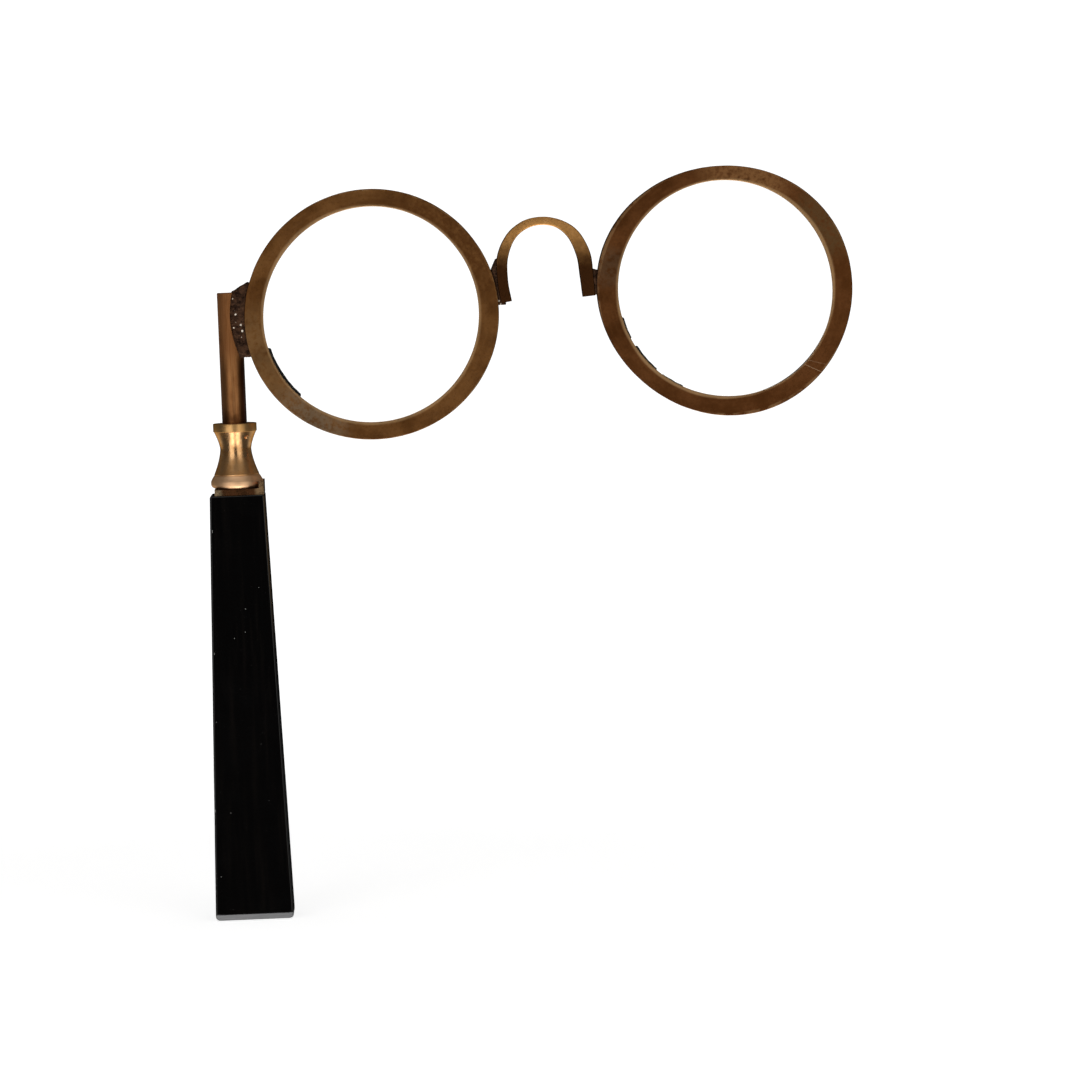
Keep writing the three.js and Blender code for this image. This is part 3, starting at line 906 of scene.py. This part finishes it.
def make_stem(material):
    """The stem: a bar whose right side is hollowed above the solder's foot, with a slightly burred top."""
    low = STEM_LOW.z
    high = STEM_HIGH.z
    steps = 240
    heights = [low + (high - low) * k / steps for k in range(1, steps)]
    profile = [(0, low), (STEM_RADIUS - STEM_EDGE, low), (STEM_RADIUS, low + STEM_EDGE)]
    profile += [(STEM_RADIUS, z) for z in heights if low + STEM_EDGE < z < high - STEM_EDGE]
    profile += [(STEM_RADIUS, high - STEM_EDGE), (STEM_RADIUS - STEM_EDGE, high), (0, high)]
    rows = []
    for radius, z in profile:
        row = []
        for point in ring_of(max(radius, ON_AXIS), z, 144):
            if z > COPE_FOOT:
                half_chord = math.sqrt(COPE_RADIUS**2 - (z - COPE_CENTRE.z) ** 2)
                point.x = min(point.x, COPE_CENTRE.x - half_chord)
            if z > high - 2 * STEM_EDGE:
                point.z -= 0.12 * MM * max(0, wobble(point, 1.2 * MM, 9) + 0.3)
            row.append(point)
        rows.append(row)
    mesh = make_mesh("stem", *skin(rows, capped=False), 40)
    piece("stem_piece", mesh, material, ["stem"])


def cove(end_radius, end_height, steps):
    """The hollow flank from the waist out to an end, as (radius, height)."""
    rise = end_radius - WAIST_RADIUS
    shares = [k / steps for k in range(steps + 1)]
    return [(WAIST_RADIUS + rise * s**COVE_EXPONENT, WAIST + (end_height - WAIST) * s) for s in shares]


def bead_profile(bottom):
    """The bead from its foot, round its belly and in over its sloping shoulder to the neck."""
    middle = BEAD_RADIUS - BEAD_ROUND
    turns = [math.radians(d) for d in range(-90, 1, 6)]
    belly = [(middle + BEAD_ROUND * math.cos(t), bottom + BEAD_ROUND * (1 + math.sin(t))) for t in turns]
    drop = BEAD_RADIUS - NECK_RADIUS - 0.12 * MM
    start = bottom + BEAD_SHOULDER
    shares = [k / 14 for k in range(15)]
    return belly + [(BEAD_RADIUS - drop * s**1.35, start + (NECK - start) * s) for s in shares]


def ferrule_profile():
    """The ferrule from under its bead, over the waist and flange, down into the stem's socket."""
    bottom = FERRULE_LOW.z
    top = FERRULE_HIGH.z
    groove = [(NECK_RADIUS, NECK + 0.08 * MM), (NECK_RADIUS, NECK + 0.16 * MM)]
    lower = cove(FLARE_RADIUS, NECK + 0.28 * MM, 28)
    upper = cove(FLANGE_RADIUS - 0.16 * MM, FLANGE, 24)
    edge = 0.09 * MM
    flange_edges = [
        (FLANGE_RADIUS - 0.02 * MM, FLANGE + 0.1 * MM),
        (FLANGE_RADIUS, FLANGE + 0.2 * MM),
        (FLANGE_RADIUS, top - edge),
        (FLANGE_RADIUS - 0.3 * edge, top - 0.3 * edge),
        (FLANGE_RADIUS - edge, top),
    ]
    socket = STEM_RADIUS + SOCKET_GAP
    floor = STEM_LOW.z - SOCKET_GAP
    inside = [(socket + edge, top), (socket, top - edge), (socket, floor), (0, floor)]
    return [(0, bottom)] + bead_profile(bottom) + groove + lower[::-1] + upper[1:] + flange_edges + inside


def pin_way():
    """The direction in which the pin points out of the ferrule."""
    return Vector((math.sin(PIN_TURN), -math.cos(PIN_TURN), 0))


def bar_along(name, way, start, end, radius, dome=0.0):
    """A round bar at the pin's height from start to end along a direction, domed at its end."""
    shoulder = end - start - dome
    turns = [math.radians(d) for d in range(15, 90, 15)]
    profile = [(0, 0), (radius, 0), (radius, shoulder)]
    profile += [(radius * math.cos(t), shoulder + dome * math.sin(t)) for t in turns]
    profile += [(0, end - start)]
    mesh = turned_mesh(name, profile, 40)
    turn = Vector((0, 0, 1)).rotation_difference(way).to_matrix().to_4x4()
    mesh.transform(turn)
    for vertex in mesh.vertices:
        vertex.co += way * start + Vector((0, 0, PIN_HEIGHT))
    return mesh


def make_ferrule(material):
    """The turned ferrule, drilled for its pin."""
    blank = placed("blank", turned_mesh("ferrule", ferrule_profile(), 160, sharp=28))
    carve(blank, bar_along("drill", pin_way(), *PIN_HOLE_SPAN, PIN_HOLE_RADIUS), "DIFFERENCE")
    mesh = blank.data
    bpy.data.objects.remove(blank)
    piece("ferrule_piece", mesh, material, ["ferrule"])


def make_pin(material):
    """The cross pin, with a domed and peened head that stands just clear of the ferrule's flank."""
    mesh = bar_along("ferrule_pin", pin_way(), *PIN_SPAN, PIN_RADIUS, PIN_DOME)
    piece("ferrule_pin_piece", mesh, material, ["ferrule_pin"])


# ------------------------ cap and handle


def soft_rectangle(half_width, half_depth, corner, z):
    """A horizontal rectangle of points at a height, with round corners and divided sides."""
    arc = 5
    straight = 10
    corners = box_outline(-half_width, half_width, -half_depth, half_depth, corner, arc)
    per_corner = arc + 1
    outline = []
    for k in range(4):
        outline += corners[k * per_corner : (k + 1) * per_corner]
        start = corners[(k + 1) * per_corner - 1]
        end = corners[(k + 1) % 4 * per_corner]
        outline += [start.lerp(end, s / straight) for s in range(1, straight)]
    return [Vector((p.x, p.y, z)) for p in outline]


def make_cap(material):
    """The low brass plate on the handle's end, with two corner posts at its right that flank the bead."""
    posts = block(Vector((CAP_HIGH.x - POST_WIDTH, CAP_LOW.y, CAP_LOW.z)), CAP_HIGH)
    above = CAP_HIGH.z + MM
    clearance = [(0, PLATE_TOP), (POST_CLEARANCE, PLATE_TOP), (POST_CLEARANCE, above), (0, above)]
    shape = placed("cap_shape", posts)
    carve(shape, turned_mesh("clearance", clearance, 160), "DIFFERENCE")
    carve(shape, block(CAP_LOW, Vector((CAP_HIGH.x, CAP_HIGH.y, PLATE_TOP))), "UNION")
    bevel = shape.modifiers.new("Break", "BEVEL")
    bevel.width = CAP_EDGE
    bevel.segments = 4
    bevel.limit_method = "ANGLE"
    bevel.angle_limit = math.radians(35)
    mesh = evaluated_mesh(shape)
    bpy.data.objects.remove(shape)
    mesh.shade_smooth()
    mesh.set_sharp_from_angle(angle=math.radians(40))
    crisp(piece("handle_cap_piece", mesh, material, ["handle_cap"]))


def handle_levels():
    """Heights up the handle with the inset of its sides and of its faces at each."""
    levels = []
    turns = [math.radians(d) for d in range(0, 91, 15)]
    for t in turns:
        z = BUTT_CORNER * (1 - math.cos(t))
        levels.append((z, BUTT_CORNER * (1 - math.sin(t)), BUTT_CHAMFER - z))
    soft = 0.12 * MM
    levels.append((BUTT_CHAMFER - soft, 0, soft))
    levels.append((BUTT_CHAMFER, 0, 0.25 * soft))
    levels.append((BUTT_CHAMFER + soft, 0, 0))
    steps = 60
    start = BUTT_CHAMFER + 2 * soft
    end = HANDLE_TOP - HANDLE_EDGE
    levels += [(start + (end - start) * k / steps, 0, 0) for k in range(steps + 1)]
    for t in turns[1:]:
        inset = HANDLE_EDGE * (1 - math.cos(t))
        levels.append((end + HANDLE_EDGE * math.sin(t), inset, inset))
    return levels


def make_handle(material):
    """The tapered bar of horn: rounded edges, a bevel round the butt and faces polished a little uneven."""
    rows = []
    for z, side_inset, face_inset in handle_levels():
        share = z / HANDLE_TOP
        half_width = HANDLE_HALF.x + (HANDLE_TOP_HALF_WIDTH - HANDLE_HALF.x) * share
        row = soft_rectangle(half_width - side_inset, HANDLE_HALF.y - face_inset, HANDLE_EDGE, z)
        for point in row:
            hollow = 0.035 * MM * (1 + wobble(point, 14 * MM, 3))
            point.y -= math.copysign(hollow, point.y)
            point.x -= math.copysign(0.02 * MM * (1 + wobble(point, 11 * MM, 6)), point.x)
        rows.append(row)
    mesh = make_mesh("handle", *skin(rows), 35)
    crisp(piece("handle_piece", mesh, material, ["handle"]))


# ------------------------ the object

# The two sheen colours are painted reflections, which the patches lay over the rims' faces where light glances
# off.
PAINTED_SHEEN = (0.25, 0.17, 0.1)
PAINTED_OLIVE_SHEEN = (0.135, 0.075, 0.03)
DARK = (0.1, 0.034, 0.009)
AMBER = (0.27, 0.15, 0.06)
RUSSET = (0.27, 0.125, 0.045)

# What sets the two rims apart. rim_brass, make_gasket and bent say what the numbers are.
EYES = {
    "left": {
        "tones": ((0.165, 0.066, 0.018), (0.22, 0.098, 0.03), (0.25, 0.12, 0.043)),
        "patches": [
            (213, 24, PAINTED_SHEEN, 0.8),
            (252, 30, AMBER, 0.6),
            (50, 40, DARK, 0.6),
        ],
        "scratches": [],
        # Black tongues that stand in for the shade inside the opening, partly gasket.
        "shade_tongues": [(223, 254.5, 0.55 * MM)],
        "outside": [(0, -0.08, 0), (1, 0.13, 0), (2, -0.1, 0.106), (3, -0.024, -0.096)],
        "inside": [(0, -0.105, 0), (2, 0, 0.137), (3, -0.041, -0.083)],
    },
    "right": {
        "tones": ((0.098, 0.034, 0.009), (0.155, 0.058, 0.018), (0.17, 0.068, 0.023)),
        "patches": [
            (58, 22, PAINTED_OLIVE_SHEEN, 0.8),
            (283, 12, PAINTED_SHEEN, 0.25),
            (12, 28, RUSSET, 1.0),
            (180, 30, DARK, 0.4),
        ],
        "scratches": [(134, -18, 0.55), (130.5, -25, 0.3)],
        # Black tongues that stand in for the shade inside the opening, partly gasket.
        "shade_tongues": [(205, 219, 0.56 * MM), (222, 240, 0.74 * MM), (244, 257, 0.56 * MM)],
        "outside": [(2, 0, -0.274), (3, -0.197, 0.271)],
        "inside": [(0, -0.091, 0), (2, -0.067, -0.232), (3, -0.087, -0.07)],
    },
}


def make_eyes():
    """Both rims with their lenses, gaskets and retaining rings."""
    glass = lens_glass()
    rubber = gasket_rubber()
    for seed, (side, look) in enumerate(EYES.items()):
        eye = middle_and_half(f"{side}_rim")[0]
        opening = middle_and_half(f"{side}_lens")[0]
        rise = opening.z - eye.z
        brass = rim_brass(f"{side}_rim_brass", rise, look["tones"], look["patches"], look["scratches"])
        make_rim(f"{side}_rim", eye, rise, brass, seed, look["outside"], look["inside"])
        make_lens(f"{side}_lens", opening, glass)
        make_gasket(f"{side}_lens_gasket", opening, look["shade_tongues"], rubber)
        make_retainer(f"{side}_retaining_ring", opening, brass)


def make_object():
    """Every piece. The stud is hidden inside the others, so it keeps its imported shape."""
    make_eyes()
    make_bridge(bridge_brass())
    solder = solder_metal()
    make_solder("stem_solder", solder, 1, 0.12 * MM, LEFT_EYE, reach=0.6 * MM, back=0.1 * MM)
    make_solder("left_bridge_solder", solder, 5, 0.1 * MM, LEFT_EYE, reach=0.4 * MM, back=-0.25 * MM)
    make_solder("right_bridge_solder", solder, 8, 0.12 * MM, RIGHT_EYE, reach=0.3 * MM, back=-0.25 * MM)
    make_stem(stem_brass())
    polished = ferrule_brass()
    make_ferrule(polished)
    make_pin(polished)
    make_cap(cap_brass())
    make_handle(black_horn())
    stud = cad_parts["handle_stud"]
    stud.data.materials.clear()
    stud.data.materials.append(stud_steel())


# ------------------------ camera, lights, room and floor

TARGET = Vector((0.0725, 0, 0.089))
CAMERA_DISTANCE = 1.1
CAMERA_AZIMUTH = math.radians(-1.5)
CAMERA_ELEVATION = math.radians(4.5)
CAMERA_ROLL = math.radians(2.15)
FRAME_WIDTH = 0.2613  # what the picture spans at the target
SENSOR_WIDTH = 36


def away_from(point, azimuth, elevation, distance):
    """A place at a distance from a point, and the way to it. Azimuth 0 is in front, 90 to the right."""
    level = math.cos(elevation)
    back = Vector((math.sin(azimuth) * level, -math.cos(azimuth) * level, math.sin(elevation)))
    return point + back * distance, back


def make_camera():
    """A long lens a little above the object, turned so that the handle leans slightly to the left."""
    data = bpy.data.cameras.new("camera")
    camera = placed("camera", data)
    data.sensor_width = SENSOR_WIDTH
    data.lens = SENSOR_WIDTH * CAMERA_DISTANCE / FRAME_WIDTH
    data.clip_start = 0.05
    data.clip_end = 20
    camera.location, back = away_from(TARGET, CAMERA_AZIMUTH, CAMERA_ELEVATION, CAMERA_DISTANCE)
    camera.rotation_mode = "QUATERNION"
    roll = Quaternion((0, 0, 1), -CAMERA_ROLL)
    camera.rotation_quaternion = (-back).to_track_quat("-Z", "Y") @ roll
    bpy.context.scene.camera = camera


LIT = Vector((0, 0, 0.1))  # what the lights face: the handle's axis, near its top


def softbox(name, azimuth, elevation, distance, size, radiance, colour=(1, 1, 1)):
    """A rectangular light of the given radiance that faces the handle. Azimuth 0 is in front."""
    data = bpy.data.lights.new(name, "AREA")
    data.shape = "RECTANGLE"
    data.size, data.size_y = size
    data.energy = radiance * math.pi * size[0] * size[1]
    data.color = colour
    made = placed(name, data)
    made.location, back = away_from(LIT, math.radians(azimuth), math.radians(elevation), distance)
    made.rotation_mode = "QUATERNION"
    made.rotation_quaternion = (-back).to_track_quat("-Z", "Y")
    made.visible_camera = False


def make_lights():
    """Two softboxes either side of the camera with a narrow dark gap between, and a wide one overhead."""
    softbox("left_softbox", -27, -7, 0.8, (0.5, 1.1), 1.15)
    softbox("right_softbox", 29, -7, 0.8, (0.5, 1.1), 0.95, (1, 0.98, 0.95))
    softbox("top_softbox", 0, 78, 0.8, (0.8, 0.8), 0.7)


WHITE = 1.15  # what the camera sees behind everything, directly and through the lenses


def room_light(nodes, x, y, z):
    """What the object reflects: a dim room, a glow low behind it, a lit table round its foot and a floor."""
    sideways = nodes.math("ABSOLUTE", x)
    room = nodes.product(
        nodes.fade(y, -0.3, 0.9, 0.06, 0.14),
        nodes.fade(y, -0.985, -0.9, 0.25, 1.0),
        nodes.fade(y, 0.75, 0.97, 1.0, 0.03),
    )
    behind = nodes.product(
        nodes.fade(y, 0.1, 0.5, 0.0, 0.4),
        nodes.fade(z, -0.25, -0.08, 1.0, 0.0),
        nodes.fade(y, 0.85, 0.98, 1.0, 0.01),
    )
    away_from_handle = nodes.math("MAXIMUM", nodes.fade(sideways, 0.03, 0.09), nodes.fade(z, -0.85, -0.95))
    table = nodes.product(
        nodes.fade(z, -0.7, -0.35, 2.1, 0.0),
        nodes.fade(sideways, 0.25, 0.5, 1.0, 0.0),
        nodes.fade(y, 0.0, 0.35, 1.0, 0.0),
        away_from_handle,
    )
    under = nodes.fade(z, -0.97, -0.9, 2.4, 0.0)
    return nodes.math("ADD", nodes.math("ADD", room, behind), nodes.math("ADD", table, under))


def make_world():
    """White where the camera looks past the object, and a dim room for everything else."""
    world = bpy.data.worlds.new("room")
    bpy.context.scene.world = world
    world.use_nodes = True
    nodes = Nodes(world.node_tree)
    nodes.tree.nodes.clear()
    x, y, z = nodes.split(nodes.add("TexCoord").outputs["Generated"])
    path = nodes.add("LightPath")
    seen = nodes.math("MAXIMUM", path.outputs["Is Camera Ray"], path.outputs["Is Transmission Ray"])
    strength = nodes.add("Mix")
    nodes.feed(strength.inputs["Factor"], seen)
    nodes.feed(strength.inputs["A"], room_light(nodes, x, y, z))
    nodes.feed(strength.inputs["B"], WHITE)
    background = nodes.add("Background")
    nodes.feed(background.inputs["Color"], (1, 1, 1))
    nodes.feed(background.inputs["Strength"], strength.outputs["Result"])
    output = nodes.add("OutputWorld")
    nodes.feed(output.inputs["Surface"], background.outputs[0])


FLOOR_RADIUS = 0.5
FLOOR_THICKNESS = 0.01
FLOOR_FADE = (420, 120)  # mm from the handle: gone at the first, solid at the second
FLOOR_LIFT = 0.78  # brings the floor up to the white round it


def floor_material():
    """Pale matt board with a faint tooth, which fades out into the white of the room."""
    shade = Shade("floor_board", metallic=0.0, specular=0.1)
    tooth = shade.noise(0.8, 4, 0.6)
    colour = shade.mix(tooth, (0.86, 0.86, 0.855), (0.9, 0.9, 0.895))
    seen = shade.add("LightPath").outputs["Is Camera Ray"]
    shade.put("Emission Color", (1, 1, 1))
    shade.put("Emission Strength", shade.product(seen, FLOOR_LIFT))
    shade.put("Alpha", shade.fade(radius_about(shade, shade.x, shade.y), *FLOOR_FADE))
    return shade.done(colour, 0.9, shade.bump(tooth, 0.05, 0.3))


def make_floor():
    """The disc that the handle's butt stands on, staged rather than part of the object."""
    profile = [(0, -FLOOR_THICKNESS), (FLOOR_RADIUS, -FLOOR_THICKNESS), (FLOOR_RADIUS, 0), (0, 0)]
    mesh = turned_mesh("floor", profile, 96)
    mesh.materials.append(floor_material())
    floor = placed("floor", mesh)
    floor.location = (0, 0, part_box("handle")[0].z)
    floor.visible_glossy = False
    floor.visible_shadow = False


make_object()
make_floor()
make_lights()
make_world()
make_camera()
bpy.context.scene.view_settings.view_transform = "Standard"
